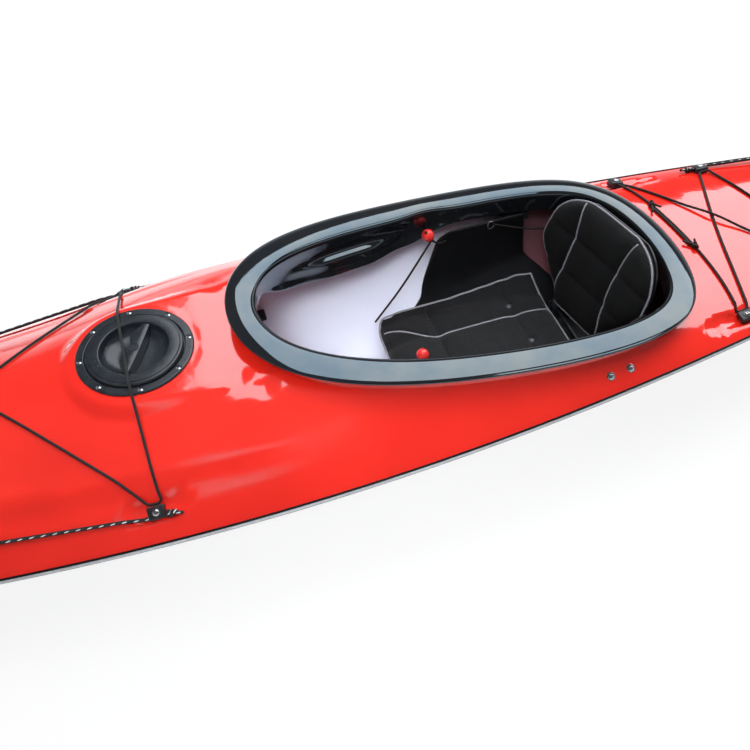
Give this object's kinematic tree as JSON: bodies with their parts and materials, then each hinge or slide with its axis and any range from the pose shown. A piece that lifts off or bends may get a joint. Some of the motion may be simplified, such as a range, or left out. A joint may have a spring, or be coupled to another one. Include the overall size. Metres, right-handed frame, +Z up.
{
  "type": "sit-in kayak",
  "caption": "Sit-in touring kayak with an open cockpit and wide coaming, padded seat and folding backrest, round deck hatch, deck elastics, safety lines and sliding foot pedals.",
  "frame": {"origin": "under the middle of the kayak's length, on the plane its flat keel panel rests on", "axes": "+X towards the bow, +Y to port, +Z up"},
  "size_m": [4.3, 0.6262, 0.4018],
  "materials": {
    "deck_red": "gloss",
    "hull_white": "gloss",
    "gloss_black": "gloss",
    "matte_black": "satin",
    "trim_black": "satin",
    "trim_silver": "satin",
    "pad_black": "woven",
    "cord_black": "braided",
    "steel": "satin",
    "rubber_black": "matte",
    "ball_red": "gloss",
    "foam_grey": "matte"
  },
  "bodies": {
    "kayak": {"aft_bulkhead": "foam_grey", "backrest_bracket": "matte_black", "backrest_cord_port": "cord_black", "backrest_cord_starboard": "cord_black", "backrest_pin": "steel", "bow_block_aft_port": "matte_black", "bow_block_aft_starboard": "matte_black", "bow_block_end": "matte_black", "bow_block_fore_port": "matte_black", "bow_block_fore_starboard": "matte_black", "bow_bungee": "cord_black", "bow_pad_eye": "steel", "bow_safety_line": "cord_black", "cockpit_coaming": "gloss_black", "cord_ring_port": "steel", "cord_ring_starboard": "steel", "deck_shell": "deck_red", "foot_rail_port": "matte_black", "foot_rail_starboard": "matte_black", "fore_bulkhead": "foam_grey", "gunwale_insert_port": "trim_silver", "gunwale_insert_starboard": "trim_silver", "gunwale_trim_port": "trim_black", "gunwale_trim_starboard": "trim_black", "hatch_gasket": "rubber_black", "hatch_ring": "matte_black", "hip_bracket_port": "matte_black", "hip_bracket_starboard": "matte_black", "hull_shell": "hull_white", "lift_cord_port": "cord_black", "lift_cord_starboard": "cord_black", "seat_cushion": "pad_black", "seat_pan": "gloss_black", "seat_riser": "foam_grey", "side_screw_aft_port": "steel", "side_screw_aft_starboard": "steel", "side_screw_fore_port": "steel", "side_screw_fore_starboard": "steel", "stern_block_aft_port": "matte_black", "stern_block_aft_starboard": "matte_black", "stern_block_end": "matte_black", "stern_block_fore_port": "matte_black", "stern_block_fore_starboard": "matte_black", "stern_bungee": "cord_black", "stern_pad_eye": "steel", "stern_safety_line": "cord_black"},
    "lid": {"hatch_lid": "matte_black"},
    "backrest": {"backrest_pad": "pad_black", "backrest_plate": "matte_black"},
    "pedal_port": {"foot_pedal_port": "matte_black"},
    "pedal_starboard": {"foot_pedal_starboard": "matte_black"},
    "ball_port": {"pull_ball_port": "ball_red"},
    "ball_starboard": {"pull_ball_starboard": "ball_red"},
    "bow_toggle": {"bow_toggle": "matte_black", "bow_toggle_strap": "cord_black"},
    "stern_toggle": {"stern_toggle": "matte_black", "stern_toggle_strap": "cord_black"}
  },
  "joints": [
    {"name": "lid_turn", "type": "hinge", "parent": "kayak", "child": "lid", "pos_m": [0.4287, 0, 0.321], "axis": [-0.034, 0, 0.9994], "range_deg": [0, 90]},
    {"name": "backrest_tilt", "type": "hinge", "parent": "kayak", "child": "backrest", "pos_m": [-0.415, 0, 0.056], "axis": [0, 1, 0], "range_deg": [0, 30], "deforming": ["backrest_cord_port", "backrest_cord_starboard"]},
    {"name": "pedal_port_slide", "type": "slide", "parent": "kayak", "child": "pedal_port", "axis": [0.9987, -0.0513, 0], "range_m": [-0.1, 0.12]},
    {"name": "pedal_starboard_slide", "type": "slide", "parent": "kayak", "child": "pedal_starboard", "axis": [0.9987, 0.0507, 0], "range_m": [-0.1, 0.12]},
    {"name": "ball_port_lift", "type": "slide", "parent": "kayak", "child": "ball_port", "axis": [0, 0, 1], "range_m": [0, 0.04], "deforming": ["lift_cord_port"]},
    {"name": "ball_starboard_lift", "type": "slide", "parent": "kayak", "child": "ball_starboard", "axis": [0, 0, 1], "range_m": [0, 0.04], "deforming": ["lift_cord_starboard"]},
    {"name": "bow_toggle_swing", "type": "hinge", "parent": "kayak", "child": "bow_toggle", "pos_m": [1.89769, 0, 0.35691], "axis": [0, 1, 0], "range_deg": [0, 100]},
    {"name": "stern_toggle_swing", "type": "hinge", "parent": "kayak", "child": "stern_toggle", "pos_m": [-1.89807, 0, 0.32824], "axis": [0, -1, 0], "range_deg": [0, 100]}
  ]
}
